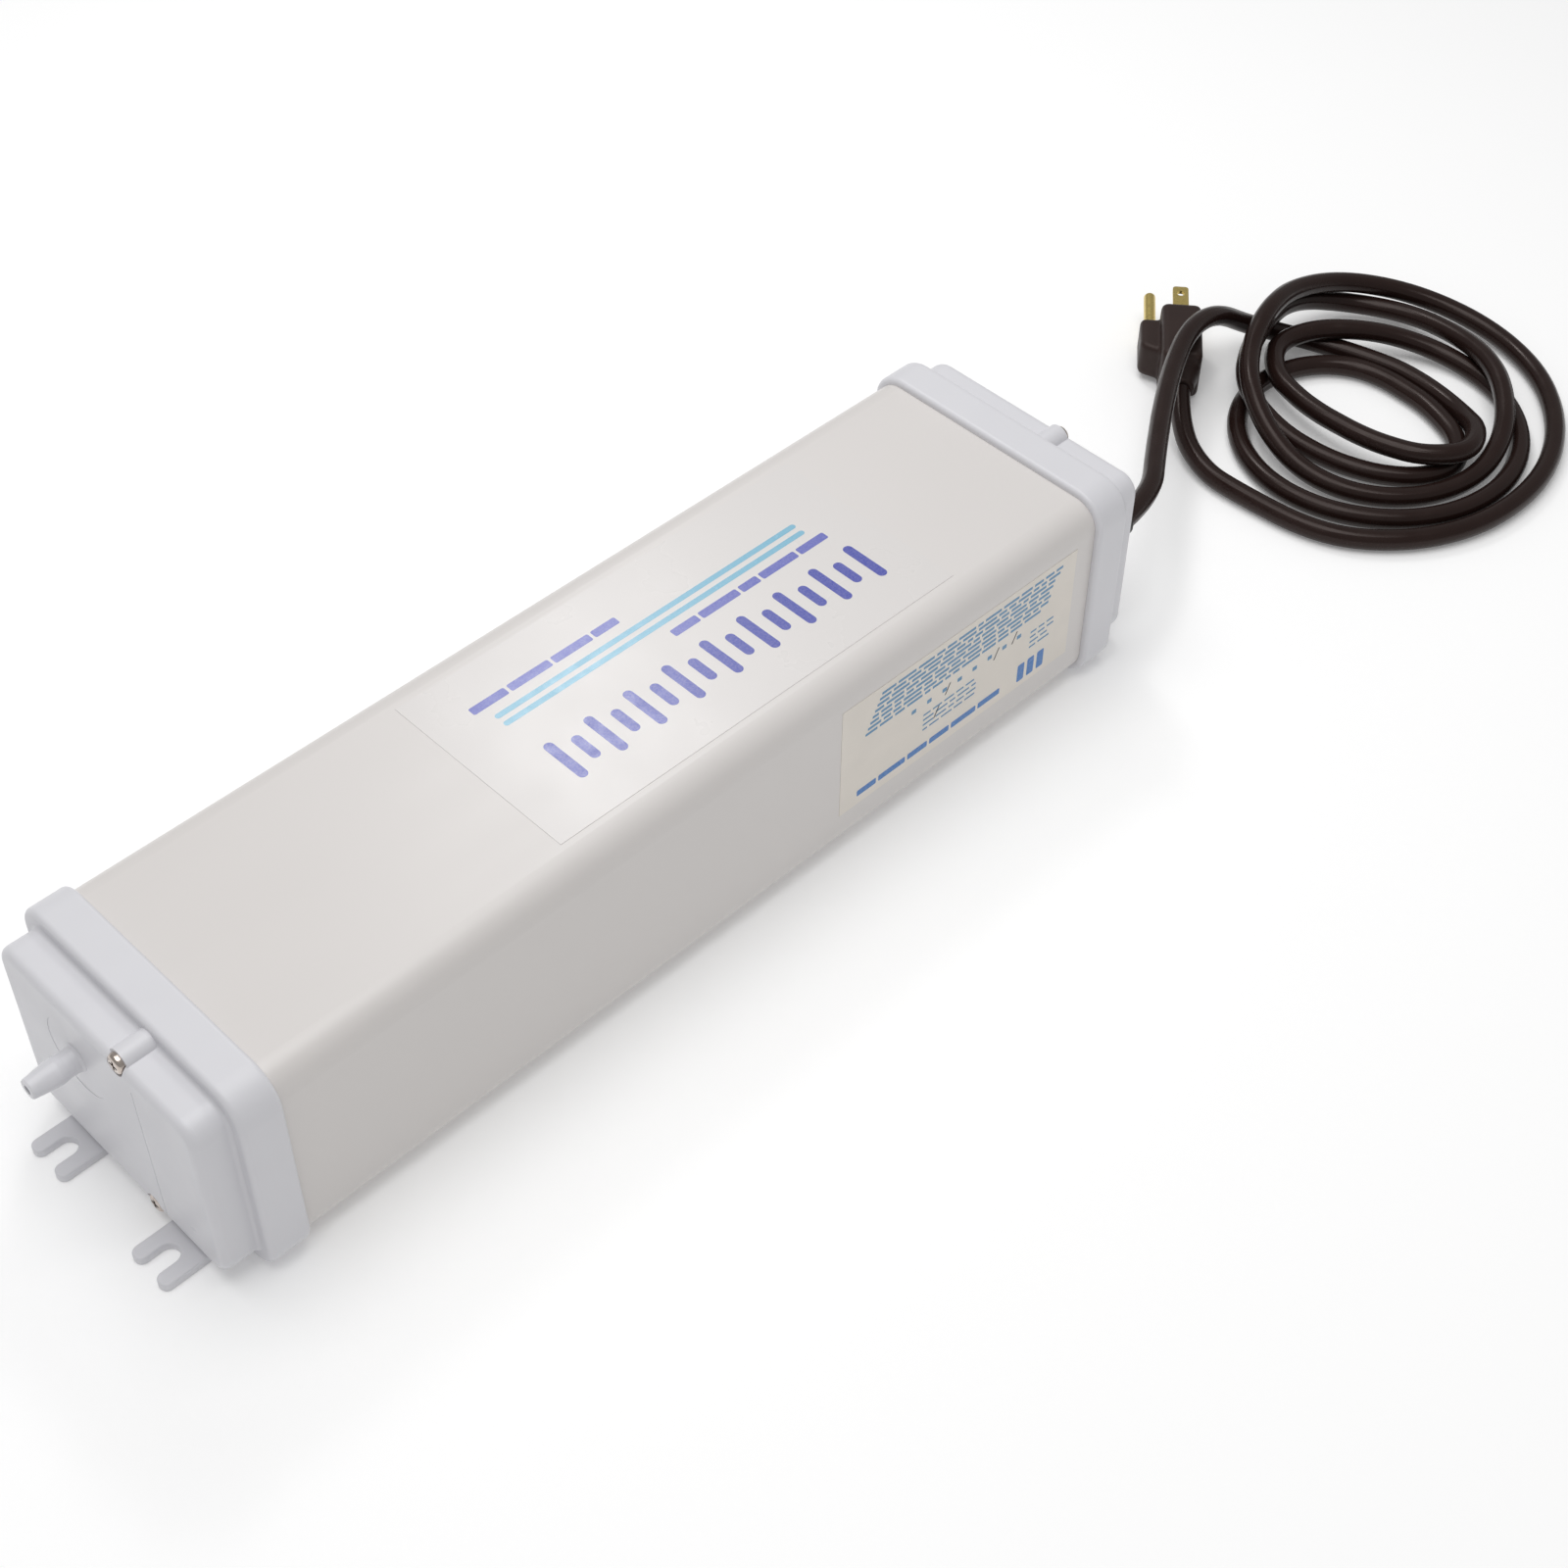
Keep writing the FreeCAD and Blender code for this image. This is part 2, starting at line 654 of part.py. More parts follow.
# ---------------------------------------------------------------- ballast
def ballast_case():
    """Open-topped metal tray with board posts and wire slots."""
    outer = box(ballast_x0, ballast_x1, ballast_y0, ballast_y1, ballast_z0, ballast_z1)
    inner = box(ballast_x0 + ballast_wall, ballast_x1 - ballast_wall, ballast_y0 + ballast_wall,
                ballast_y1 - ballast_wall, ballast_z0 + ballast_wall, ballast_z1 + 1)
    tray = outer.cut(inner)
    posts = []
    for x in board_screw_x:
        posts.append(Part.makeCylinder(board_post_radius, board_post_height,
                                       V(x, ballast_mid_y, ballast_z0 + ballast_wall), Z_AXIS))
    for x in cover_screw_x:
        posts.append(box(x - cover_post_half_width, x + cover_post_half_width,
                         ballast_mid_y - cover_post_half_width, ballast_mid_y + cover_post_half_width,
                         ballast_z1 - cover_post_height, ballast_z1))
    tray = fuse_all([tray] + posts)
    for x in cover_screw_x:
        tray = tray.cut(Part.makeCylinder(cover_thread_radius, cover_thread_depth + 1,
                                          V(x, ballast_mid_y, ballast_z1 - cover_thread_depth), Z_AXIS))
    for low, high in ballast_slot_heights:
        tray = tray.cut(box(ballast_x1 - 2 * ballast_wall, ballast_x1 + 1, *ballast_slot_y, low, high))
    return tray


def ballast_cover():
    """Flat lid with two screw holes."""
    lid = box(ballast_x0, ballast_x1, ballast_y0, ballast_y1, ballast_z1, lid_top)
    for x in cover_screw_x:
        lid = lid.cut(Part.makeCylinder(cover_hole_radius, 4, V(x, ballast_mid_y, ballast_z1 - 1), Z_AXIS))
    return lid


def upright_screw(x, y, z, shank, length, head, height):
    """Screw pointing down, with its seat at z."""
    one = screw(0, 0, 0, shank, length, head, height)
    one.rotate(V(0, 0, 0), Y_AXIS, -90)
    one.translate(V(x, y, z))
    return one


save("ballast_pad", box(*pad_x, *pad_y, tube_bottom + tube_wall, ballast_z0))
save("ballast_case", ballast_case())
save("ballast_cover", ballast_cover())


def ballast_board():
    """Circuit board with its two screw holes."""
    board = box(*board_x, ballast_y0 + board_edge_gap, ballast_y1 - board_edge_gap, board_z, board_top)
    for x in board_screw_x:
        board = board.cut(Part.makeCylinder(board_hole_radius, 4, V(x, ballast_mid_y, board_z - 1), Z_AXIS))
    return board


def on_board(size, z):
    """Block on the board's middle line, from (x0, x1, half width, height)."""
    x0, x1, half, height = size
    return box(x0, x1, ballast_mid_y - half, ballast_mid_y + half, z, z + height)


def ballast_inductor():
    """Bobbin of two flanges with the wound core between them."""
    core_z = board_top + inductor_flange[3]
    upper_z = core_z + inductor_core[3]
    return fuse_all([on_board(inductor_flange, board_top), on_board(inductor_core, core_z),
                     on_board(inductor_flange, upper_z)])


def ballast_capacitors():
    """Two round capacitors and one film capacitor."""
    cans = []
    for x, dy, radius, height in round_capacitors:
        cans.append(Part.makeCylinder(radius, height, V(x, ballast_mid_y + dy, board_top), Z_AXIS))
    return Part.makeCompound(cans + [on_board(film_capacitor, board_top)])


save("ballast_board", ballast_board())
save("ballast_inductor", ballast_inductor())
save("ballast_capacitors", ballast_capacitors())
save("ballast_transistors", Part.makeCompound([on_board(part, board_top) for part in transistors]))
save("ballast_board_screws", Part.makeCompound([
    upright_screw(x, ballast_mid_y, board_top, *board_screw_size) for x in board_screw_x]))
save("ballast_cover_screws", Part.makeCompound([
    upright_screw(cover_screw_x[0], ballast_mid_y, lid_top, *cover_screw_size),
    upright_screw(cover_screw_x[1], ballast_mid_y, lid_top + terminal_thickness, *cover_screw_size)]))


# ---------------------------------------------------------------- wiring
def gland():
    """Strain-relief bushing: inner barrel, outer flange and tapered sleeve."""
    taper_x = face_x + bushing_flange
    barrel = rod(cavity_x - 4, face_x, gland_y, gland_z, bushing_barrel_radius)
    flange = rod(face_x, taper_x, gland_y, gland_z, bushing_flange_radius)
    taper = Part.makeCone(*bushing_taper, gland_end_x - taper_x, V(taper_x, gland_y, gland_z), X_AXIS)
    body = fuse_all([barrel, flange, taper])
    return body.cut(rod(cavity_x - 6, gland_end_x + 1, gland_y, gland_z, cord_radius + slip_clearance))


def ground_terminal():
    """Ring lug under the ballast cover's screw."""
    eye_x = cover_screw_x[1]
    eye = Part.makeCylinder(terminal_eye_radius, terminal_thickness, V(eye_x, ballast_mid_y, lid_top), Z_AXIS)
    tail = box(eye_x, eye_x + terminal_tail_length,
               ballast_mid_y - terminal_half_width, ballast_mid_y + terminal_half_width,
               lid_top, lid_top + terminal_thickness)
    lug = fuse_all([eye, tail])
    return lug.cut(Part.makeCylinder(terminal_hole_radius, 4, V(eye_x, ballast_mid_y, lid_top - 1), Z_AXIS))


def lamp_wires():
    """Four wires from the ballast, round the web's end, to the socket."""
    wires = []
    pairs = [(-1, -1), (1, -1), (-1, 1), (1, 1)]
    for k, (dy, dz) in enumerate(pairs):
        y_start = lamp_wire_start_y + lamp_wire_pitch[0] * (k % 2)
        z_start = lamp_wire_start_z + lamp_wire_pitch[1] * (k // 2)
        y_end = lamp_y + dy * lamp_pin_spacing
        z_end = lamp_z + dz * lamp_pin_spacing
        lane_x = lamp_wire_bend_x + lamp_wire_lane * (k % 2)
        wires.append(tube_along([(ballast_x1 - 2, y_start, z_start), (lane_x, y_start, z_start),
                                 (lane_x, y_end, z_end), (socket_rear_x - 1.5, y_end, z_end)],
                                lamp_wire_radius))
    return Part.makeCompound(wires)


def crimp_connectors():
    """Closed sleeves that join the cord's line and neutral cores to the ballast."""
    return Part.makeCompound([rod(*crimp_x, gland_y + dy, gland_z, crimp_radius)
                              for dy in (-core_spread, core_spread)])


def supply_wires():
    """Line and neutral cores between the cord's jacket and the connectors."""
    return Part.makeCompound([
        tube_along([(cord_inside_x, gland_y + 0.45 * dy, gland_z),
                    (cord_inside_x - 5, gland_y + 0.47 * dy, gland_z),
                    (crimp_x[1] + 4, gland_y + dy, gland_z),
                    (crimp_x[1], gland_y + dy, gland_z)], core_radius)
        for dy in (-core_spread, core_spread)])


def ballast_input_wires():
    """Short leads from the connectors into the ballast."""
    return Part.makeCompound([rod(ballast_x1 - 2, crimp_x[0], gland_y + dy, gland_z, input_wire_radius)
                              for dy in (-core_spread, core_spread)])


def ground_wire():
    """Ground core from the jacket's end to the ring lug."""
    lug_end = ballast_x1 + 4
    return tube_along([(cord_inside_x, gland_y, gland_z + 2.6), (cord_inside_x - 6, gland_y, gland_z + 2.9),
                       (170, ballast_mid_y, lid_top - 1), (lug_end + 4, ballast_mid_y, lid_top + 0.4),
                       (lug_end, ballast_mid_y, lid_top + 0.4)], core_radius)


save("cord_bushing", gland())
save("cord_inner_end", rod(cord_inside_x, gland_end_x, gland_y, gland_z, cord_radius))
save("supply_wires", supply_wires())
save("crimp_connectors", crimp_connectors())
save("ballast_input_wires", ballast_input_wires())
save("ground_wire", ground_wire())
save("ground_terminal", ground_terminal())
save("lamp_wires", lamp_wires())


# ---------------------------------------------------------------- cord and plug
cord_lead_route = [(gland_end_x, -31, 36), (234, -28, 34.5), (256, -12, 32), (281, 5, 31),
                   (305, 19.5, 30), (328, 30, 30), (348, 32, 26), (367, 29, 12), (382, 18, 5),
                   (390, 0, 4.1)]
cord_tail_route = [(314.1, 20.8, plug_mid_z), (300, 8.5, 6.5), (290, -11, 4.2), (289, -28, 4.1)]
coil_outline = [(283, -32), (289, -68), (326, -108), (388, -112), (431, -84), (451, -34),
                (436, 21), (393, 36), (342, 18), (298, 2)]
coil_eye_centre = V(368, -32, 0)
coil_eye_long = 32
coil_eye_short = 17
coil_eye_turn = -65
coil_height = 28


def cord_coil():
    """Outer shape of the loose coil, a low ring with an oval eye."""
    curve = Part.BSplineCurve()
    curve.interpolate([V(x, y, 0) for x, y in coil_outline], PeriodicFlag=True)
    disc = Part.Face(Part.Wire(curve.toShape())).extrude(V(0, 0, coil_height))
    eye_axis = V(math.cos(math.radians(coil_eye_turn)), math.sin(math.radians(coil_eye_turn)), 0)
    across = V(-eye_axis.y, eye_axis.x, 0)
    ellipse = Part.Ellipse(coil_eye_centre + eye_axis * coil_eye_long,
                           coil_eye_centre + across * coil_eye_short, coil_eye_centre)
    eye = Part.Face(Part.Wire(ellipse.toShape())).extrude(V(0, 0, coil_height))
    return disc.cut(eye)


def on_plug(shape):
    """Turn a shape from plug axes (x towards the blades) into its place on the floor."""
    placed = shape.copy()
    angle = math.radians(plug_angle)
    placed.rotate(V(0, 0, 0), Z_AXIS, plug_angle)
    placed.translate(V(-plug_across * math.sin(angle), plug_across * math.cos(angle), 0))
    return placed


def plug_body():
    """Moulded body: tall blade block, lower ground block and strain relief."""
    main = box(plug_face - plug_length, plug_face, -plug_half_width, plug_half_width, 0, 2 * plug_mid_z)
    main = main.makeFillet(plug_edge, main.Edges)
    side = box(*ground_block_x, *ground_block_y, ground_block_bottom, ground_block_top)
    outer_edges = [e for e in side.Edges if e.BoundBox.YMax > ground_block_y[1] - 0.1]
    side = side.makeFillet(ground_block_edge, outer_edges)
    corners = [V(x, y, ground_block_bottom) for x, y in plug_wedge]
    wedge = Part.Face(Part.makePolygon(corners + [corners[0]]))
    wedge = wedge.extrude(V(0, 0, ground_block_top - 2 * ground_block_bottom))
    relief = Part.makeCone(*relief_radii, relief_length, V(relief_start, 0, plug_mid_z), X_AXIS)
    return on_plug(fuse_all([main, side, wedge, relief]))


def plug_blades():
    """Two flat blades, one above the other, each with its hole."""
    blades = []
    for side in (-1, 1):
        z = plug_mid_z + side * blade_spacing / 2
        blade = box(plug_face, plug_face + blade_length, -blade_width / 2, blade_width / 2,
                    z - blade_thickness / 2, z + blade_thickness / 2)
        tips = [e for e in blade.Edges
                if e.BoundBox.ZLength > 1 and e.BoundBox.XMin > plug_face + blade_length - 0.1]
        blade = blade.makeFillet(blade_tip_radius, tips)
        hole = Part.makeCylinder(blade_hole_radius, 5,
                                 V(plug_face + blade_length - blade_hole_inset, 0, z - 2.5), Z_AXIS)
        blades.append(on_plug(blade.cut(hole)))
    return Part.makeCompound(blades)


def plug_ground_pin():
    """Round ground pin with a rounded end."""
    pin = rod(ground_face, ground_face + ground_length, ground_offset, plug_mid_z, ground_radius)
    pin = pin.makeFillet(ground_tip_radius, edges_at_x(pin, ground_face + ground_length))
    return on_plug(pin)


save("cord_lead", tube_along(cord_lead_route, cord_radius, "cord_lead"))
save("cord_coil", cord_coil())
save("cord_tail", tube_along(cord_tail_route, cord_radius, "cord_tail"))
save("plug_body", plug_body())
save("plug_blades", plug_blades())
save("plug_ground_pin", plug_ground_pin())
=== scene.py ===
import json
import math

import bmesh
import bpy
import numpy as np
from mathutils import Matrix, Quaternion, Vector


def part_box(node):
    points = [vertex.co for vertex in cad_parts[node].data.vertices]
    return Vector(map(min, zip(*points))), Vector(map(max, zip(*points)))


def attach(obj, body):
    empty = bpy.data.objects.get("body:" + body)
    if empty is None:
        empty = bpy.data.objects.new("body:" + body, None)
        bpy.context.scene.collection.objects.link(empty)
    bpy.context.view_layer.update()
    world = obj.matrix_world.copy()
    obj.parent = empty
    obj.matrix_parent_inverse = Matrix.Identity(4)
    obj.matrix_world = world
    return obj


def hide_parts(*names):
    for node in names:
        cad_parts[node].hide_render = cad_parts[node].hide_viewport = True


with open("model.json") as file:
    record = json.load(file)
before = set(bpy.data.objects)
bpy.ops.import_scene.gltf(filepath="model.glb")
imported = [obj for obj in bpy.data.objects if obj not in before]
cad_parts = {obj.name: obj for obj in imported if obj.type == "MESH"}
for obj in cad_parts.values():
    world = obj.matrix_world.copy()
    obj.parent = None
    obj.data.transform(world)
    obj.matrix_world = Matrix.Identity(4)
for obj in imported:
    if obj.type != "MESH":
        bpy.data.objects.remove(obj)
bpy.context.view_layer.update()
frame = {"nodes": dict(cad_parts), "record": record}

# Spa UV ozone generator on a pale floor. Metres, +X from the nipple end to the cord end, +Z up.
MM = 0.001

# ---------------------------------------------------------------- camera
camera_place = Vector((-0.3640, -0.4367, 0.6384))
camera_aim = Vector((0.0588, -0.0152, 0.0))
camera_roll = 0.83
camera_lens = 58.26
sensor_width = 36.0


def make_camera():
    """Camera above the nipple end's right-hand corner, looking down along the housing."""
    data = bpy.data.cameras.new("camera")
    data.lens = camera_lens
    data.sensor_width = sensor_width
    camera = bpy.data.objects.new("camera", data)
    look = (camera_aim - camera_place).to_track_quat("-Z", "Y")
    roll = Quaternion((0, 0, 1), math.radians(camera_roll))
    camera.matrix_world = Matrix.LocRotScale(camera_place, look @ roll, None)
    bpy.context.scene.collection.objects.link(camera)
    bpy.context.scene.camera = camera


make_camera()


# ---------------------------------------------------------------- helpers
def new_object(name, data):
    """Object in the scene at the origin."""
    piece = bpy.data.objects.new(name, data)
    bpy.context.scene.collection.objects.link(piece)
    return piece


def mesh_object(name, bm, smooth=True):
    """Object from a bmesh."""
    mesh = bpy.data.meshes.new(name)
    bm.normal_update()
    bm.to_mesh(mesh)
    bm.free()
    for polygon in mesh.polygons:
        polygon.use_smooth = smooth
    return new_object(name, mesh)


def apply_modifiers(piece):
    """Keep the modifiers' result as the piece's own mesh."""
    graph = bpy.context.evaluated_depsgraph_get()
    mesh = bpy.data.meshes.new_from_object(piece.evaluated_get(graph))
    piece.modifiers.clear()
    piece.data = mesh
    return piece


def dress(piece, material, body, slot, *replaced):
    """Give a piece its material and its body, and hide the nodes that it stands for. The slot is
    not used.
    """
    piece.data.materials.clear()
    piece.data.materials.append(material)
    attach(piece, body)
    if replaced:
        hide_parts(*replaced)
    return piece


def screen(red, green, blue):
    """Linear colour from screen values between 0 and 1."""
    def linear(value):
        return value / 12.92 if value <= 0.04045 else ((value + 0.055) / 1.055) ** 2.4
    return (linear(red), linear(green), linear(blue), 1.0)


# Nearly all of a noise texture's values lie between these two.
noise_low = 0.3
noise_high = 0.7
# Reflections on soft PVC are slightly brown.
brown_tint = (1.0, 0.88, 0.84, 1.0)


class Surface:
    """Principled material with the texture nodes that the finishes share."""

    def __init__(self, name, roughness, metallic=0.0):
        self.material = bpy.data.materials.new(name)
        self.material.use_nodes = True
        self.tree = self.material.node_tree
        self.shader = self.tree.nodes["Principled BSDF"]
        self.shader.inputs["Metallic"].default_value = metallic
        self.shader.inputs["Roughness"].default_value = roughness
        self.roughness = roughness
        self.place = self.tree.nodes.new("ShaderNodeTexCoord")

    def link(self, source, target):
        """Joins an output to an input."""
        self.tree.links.new(source, target)

    def noise(self, scale, detail=3.0, stretch=(1, 1, 1), space="Object"):
        """Noise value over the piece, with its features drawn out along an axis."""
        mapping = self.tree.nodes.new("ShaderNodeMapping")
        mapping.inputs["Scale"].default_value = stretch
        self.link(self.place.outputs[space], mapping.inputs["Vector"])
        noise = self.tree.nodes.new("ShaderNodeTexNoise")
        noise.inputs["Scale"].default_value = scale
        noise.inputs["Detail"].default_value = detail
        self.link(mapping.outputs["Vector"], noise.inputs["Vector"])
        return noise.outputs[0]

    def spread(self, value, low, high):
        """Noise value drawn out to the range from low to high."""
        node = self.tree.nodes.new("ShaderNodeMapRange")
        node.inputs["From Min"].default_value = noise_low
        node.inputs["From Max"].default_value = noise_high
        node.inputs["To Min"].default_value = low
        node.inputs["To Max"].default_value = high
        self.link(value, node.inputs["Value"])
        return node.outputs["Result"]

    def blend_colours(self, factor, first, second):
        """Colour between two others."""
        node = self.tree.nodes.new("ShaderNodeMixRGB")
        self.link(factor, node.inputs["Fac"])
        node.inputs["Color1"].default_value = first
        node.inputs["Color2"].default_value = second
        return node.outputs["Color"]

    def colour(self, value):
        """Base colour from a node."""
        self.link(value, self.shader.inputs["Base Color"])

    def clouds(self, colour, tint=0.05, scale=25.0):
        """Faint uneven colour."""
        darker = tuple(c * (1 - tint) for c in colour[:3]) + (1.0,)
        lighter = tuple(min(c * (1 + tint), 1.0) for c in colour[:3]) + (1.0,)
        self.colour(self.blend_colours(self.noise(scale), darker, lighter))

    def uneven_gloss(self, spread=0.06, scale=60.0, stretch=(1, 1, 1)):
        """Roughness that changes over the surface."""
        value = self.spread(self.noise(scale, 4.0, stretch),
                            self.roughness - spread, self.roughness + spread)
        self.link(value, self.shader.inputs["Roughness"])

    def soft_gloss(self, level):
        """Weaker, slightly brown reflections."""
        self.shader.inputs["Specular IOR Level"].default_value = level
        self.shader.inputs["Specular Tint"].default_value = brown_tint

    def bumps(self, scale, depth_mm, stretch=(1, 1, 1), detail=4.0):
        """Fine relief from noise."""
        self.relief(self.noise(scale, detail, stretch), depth_mm)

    def relief(self, height, depth_mm):
        """Relief from a height, on top of any relief that is there."""
        bump = self.tree.nodes.new("ShaderNodeBump")
        bump.inputs["Distance"].default_value = depth_mm * MM
        self.link(height, bump.inputs["Height"])
        if self.shader.inputs["Normal"].links:
            before = self.shader.inputs["Normal"].links[0].from_socket
            self.link(before, bump.inputs["Normal"])
        self.link(bump.outputs["Normal"], self.shader.inputs["Normal"])


# ---------------------------------------------------------------- materials
def extruded_pvc():
    """Warm white PVC with faint die lines along the extrusion."""
    look = Surface("extruded_pvc", roughness=0.34)
    look.clouds(screen(0.852, 0.836, 0.826), tint=0.025, scale=9.0)
    look.uneven_gloss(spread=0.05, scale=40.0, stretch=(0.1, 1, 1))
    look.bumps(scale=700.0, depth_mm=0.010, stretch=(0.02, 1, 1))
    look.bumps(scale=55.0, depth_mm=0.05, stretch=(0.3, 1, 1), detail=1.0)
    return look.material


def moulded_cap():
    """Bluish white moulded plastic with a fine orange peel."""
    look = Surface("moulded_cap", roughness=0.40)
    look.clouds(screen(0.850, 0.848, 0.864), tint=0.02, scale=14.0)
    look.uneven_gloss(spread=0.06, scale=90.0)
    look.bumps(scale=900.0, depth_mm=0.012)
    return look.material


def clear_film():
    """Clear film over the PVC: its colour with more gloss and a finer grain."""
    look = Surface("label_film", roughness=0.29)
    look.clouds(screen(0.850, 0.836, 0.828), tint=0.025, scale=9.0)
    look.uneven_gloss(spread=0.03, scale=30.0)
    look.bumps(scale=700.0, depth_mm=0.005)
    return look.material


def nickel():
    """Bright nickel plate with turning marks."""
    look = Surface("nickel", roughness=0.24, metallic=1.0)
    look.clouds(screen(0.79, 0.745, 0.71), tint=0.10, scale=400.0)
    look.uneven_gloss(spread=0.08, scale=900.0)
    look.bumps(scale=2500.0, depth_mm=0.008)
    return look.material


def brass():
    """Drawn brass with lengthwise scratches."""
    look = Surface("brass", roughness=0.30, metallic=1.0)
    look.clouds(screen(0.86, 0.77, 0.48), tint=0.05, scale=260.0)
    look.uneven_gloss(spread=0.05, scale=700.0, stretch=(1, 1, 0.2))
    look.bumps(scale=2200.0, depth_mm=0.005)
    return look.material


def cord_jacket():
    """Brown-black flexible PVC with soft lengthwise draw lines."""
    look = Surface("cord_jacket", roughness=0.25)
    look.clouds(screen(0.140, 0.092, 0.082), tint=0.16, scale=60.0)
    look.soft_gloss(0.27)
    look.uneven_gloss(spread=0.07, scale=120.0)
    look.bumps(scale=1400.0, depth_mm=0.008)
    draw_lines = look.noise(scale=9.0, detail=2.0, stretch=(0.02, 1, 1), space="UV")
    look.relief(draw_lines, depth_mm=0.35)
    return look.material


def moulded_rubber():
    """Brown-black moulded PVC of the plug, a little duller than the cord."""
    look = Surface("moulded_rubber", roughness=0.44)
    look.clouds(screen(0.185, 0.140, 0.130), tint=0.14, scale=90.0)
    look.soft_gloss(0.24)
    look.uneven_gloss(spread=0.07, scale=300.0)
    look.bumps(scale=1700.0, depth_mm=0.03)
    return look.material


def clear_quartz():
    """Clear quartz with slight ripples from drawing."""
    look = Surface("clear_quartz", roughness=0.04)
    look.clouds(screen(0.95, 0.97, 0.98), tint=0.02, scale=30.0)
    look.shader.inputs["Transmission Weight"].default_value = 0.92
    look.shader.inputs["IOR"].default_value = 1.46
    look.bumps(scale=60.0, depth_mm=0.05, stretch=(0.1, 1, 1))
    return look.material


def printed_board():
    """Green solder mask over a faint track pattern."""
    look = Surface("printed_board", roughness=0.35)
    tracks = look.noise(scale=260.0, detail=0.0, stretch=(1, 3, 1))
    edges = look.spread(tracks, -1.5, 2.5)
    look.colour(look.blend_colours(edges, screen(0.07, 0.30, 0.14), screen(0.12, 0.40, 0.19)))
    look.relief(tracks, depth_mm=0.05)
    look.uneven_gloss(spread=0.06, scale=300.0)
    return look.material


# Plainer finishes: screen colour, roughness, metallic, grain scale and grain depth in millimetres
plain_finishes = {
    "gasket_rubber": ((0.10, 0.10, 0.10), 0.70, 0.0, 1500.0, 0.04),
    "filter_foam": ((0.25, 0.25, 0.26), 0.95, 0.0, 700.0, 0.60),
    "lamp_ceramic": ((0.90, 0.89, 0.86), 0.28, 0.0, 500.0, 0.03),
    "electrode_steel": ((0.62, 0.62, 0.62), 0.35, 1.0, 2500.0, 0.02),
    "socket_plastic": ((0.88, 0.87, 0.84), 0.55, 0.0, 900.0, 0.03),
    "sheet_steel": ((0.66, 0.67, 0.68), 0.36, 1.0, 350.0, 0.02),
    "liner_aluminium": ((0.88, 0.89, 0.90), 0.45, 0.7, 600.0, 0.01),
    "foam_tape": ((0.20, 0.20, 0.20), 0.95, 0.0, 900.0, 0.30),
    "ballast_paint": ((0.82, 0.82, 0.80), 0.45, 0.0, 1200.0, 0.03),
    "ferrite": ((0.15, 0.15, 0.16), 0.60, 0.0, 800.0, 0.06),
    "capacitor_plastic": ((0.10, 0.12, 0.22), 0.35, 0.0, 500.0, 0.02),
    "bushing_black": ((0.07, 0.07, 0.07), 0.48, 0.0, 1300.0, 0.03),
    "wire_black": ((0.05, 0.05, 0.05), 0.42, 0.0, 1500.0, 0.02),
    "wire_green": ((0.08, 0.40, 0.16), 0.42, 0.0, 1500.0, 0.02),
    "wire_white": ((0.88, 0.88, 0.86), 0.42, 0.0, 1500.0, 0.02),
    "crimp_clear": ((0.78, 0.18, 0.14), 0.30, 0.0, 700.0, 0.03),
    "terminal_tin": ((0.76, 0.77, 0.79), 0.32, 1.0, 1500.0, 0.02),
    "label_paper": ((0.90, 0.875, 0.84), 0.50, 0.0, 900.0, 0.01),
}


def plain_finish(name):
    """Finish from the table, with uneven colour and gloss and its own grain."""
    rgb, roughness, metallic, grain, depth = plain_finishes[name]
    look = Surface(name, roughness, metallic)
    look.clouds(screen(*rgb), tint=0.07, scale=grain / 12)
    look.uneven_gloss(spread=0.05, scale=grain / 6)
    look.bumps(grain, depth)
    return look.material


finishes = {name: plain_finish(name) for name in plain_finishes}
finishes.update({
    "extrusion_white": extruded_pvc(),
    "cap_white": moulded_cap(),
    "label_film": clear_film(),
    "screw_steel": nickel(),
    "pin_brass": brass(),
    "cord_jacket": cord_jacket(),
    "quartz": clear_quartz(),
    "board_green": printed_board(),
})


def dress_nodes():
    """Every CAD node takes the finish of its slot in the record."""
    for part in frame["record"]["subparts"]:
        slots = frame["nodes"][part["node"]].data.materials
        finish = finishes[part["material_slot"]]
        if not slots:
            slots.append(finish)
        for k in range(len(slots)):
            slots[k] = finish


dress_nodes()


# ---------------------------------------------------------------- mains cord
# Millimetres. The lead and the tail repeat the part's route.
cord_diameter = 8.1
gland_end_x = 213.7
plug_mid_z = 11.5
floor_height = cord_diameter / 2
cord_lead_route = [(gland_end_x, -31, 36), (234, -28, 34.5), (256, -12, 32), (281, 5, 31),
                   (305, 19.5, 30), (328, 30, 30), (348, 32, 26), (367, 29, 12), (382, 18, 5),
                   (390, 0, 4.1)]
cord_tail_route = [(314.1, 20.8, plug_mid_z), (300, 8.5, 6.5), (290, -11, 4.2), (289, -28, 4.1)]

# The coil's five turns, clockwise from above. Each has its reach from the coil's middle and its
# height in eight directions: +Y, between +Y and +X, +X, and so on round.
coil_middle = (364, -36)
directions = 8
coil_turns = [
    ((65, 40, 32, 37, 46, 28, 22, 29), (12, 4, 4, 5, 12, 12, 12, 12)),
    ((49, 46, 54, 59, 63, 64, 62, 53), (12, 12, 5, 4, 4, 4, 4, 4)),
    ((41, 31, 24, 28, 43, 37, 34, 48), (4, 4, 4, 4, 4, 4, 4, 11)),
    ((58, 73, 61, 53, 53, 51, 49, 50), (14, 6, 10, 12, 6, 4, 7, 20)),
    ((55, 74, 82, 75, 72, 76, 79, 75), (21, 13, 5, 4, 4, 4, 4, 4)),
]
strand_gap = cord_diameter + 0.1
stacked_rise = 3.0
settle_rounds = 60
settle_share = 0.8
spline_steps = 4
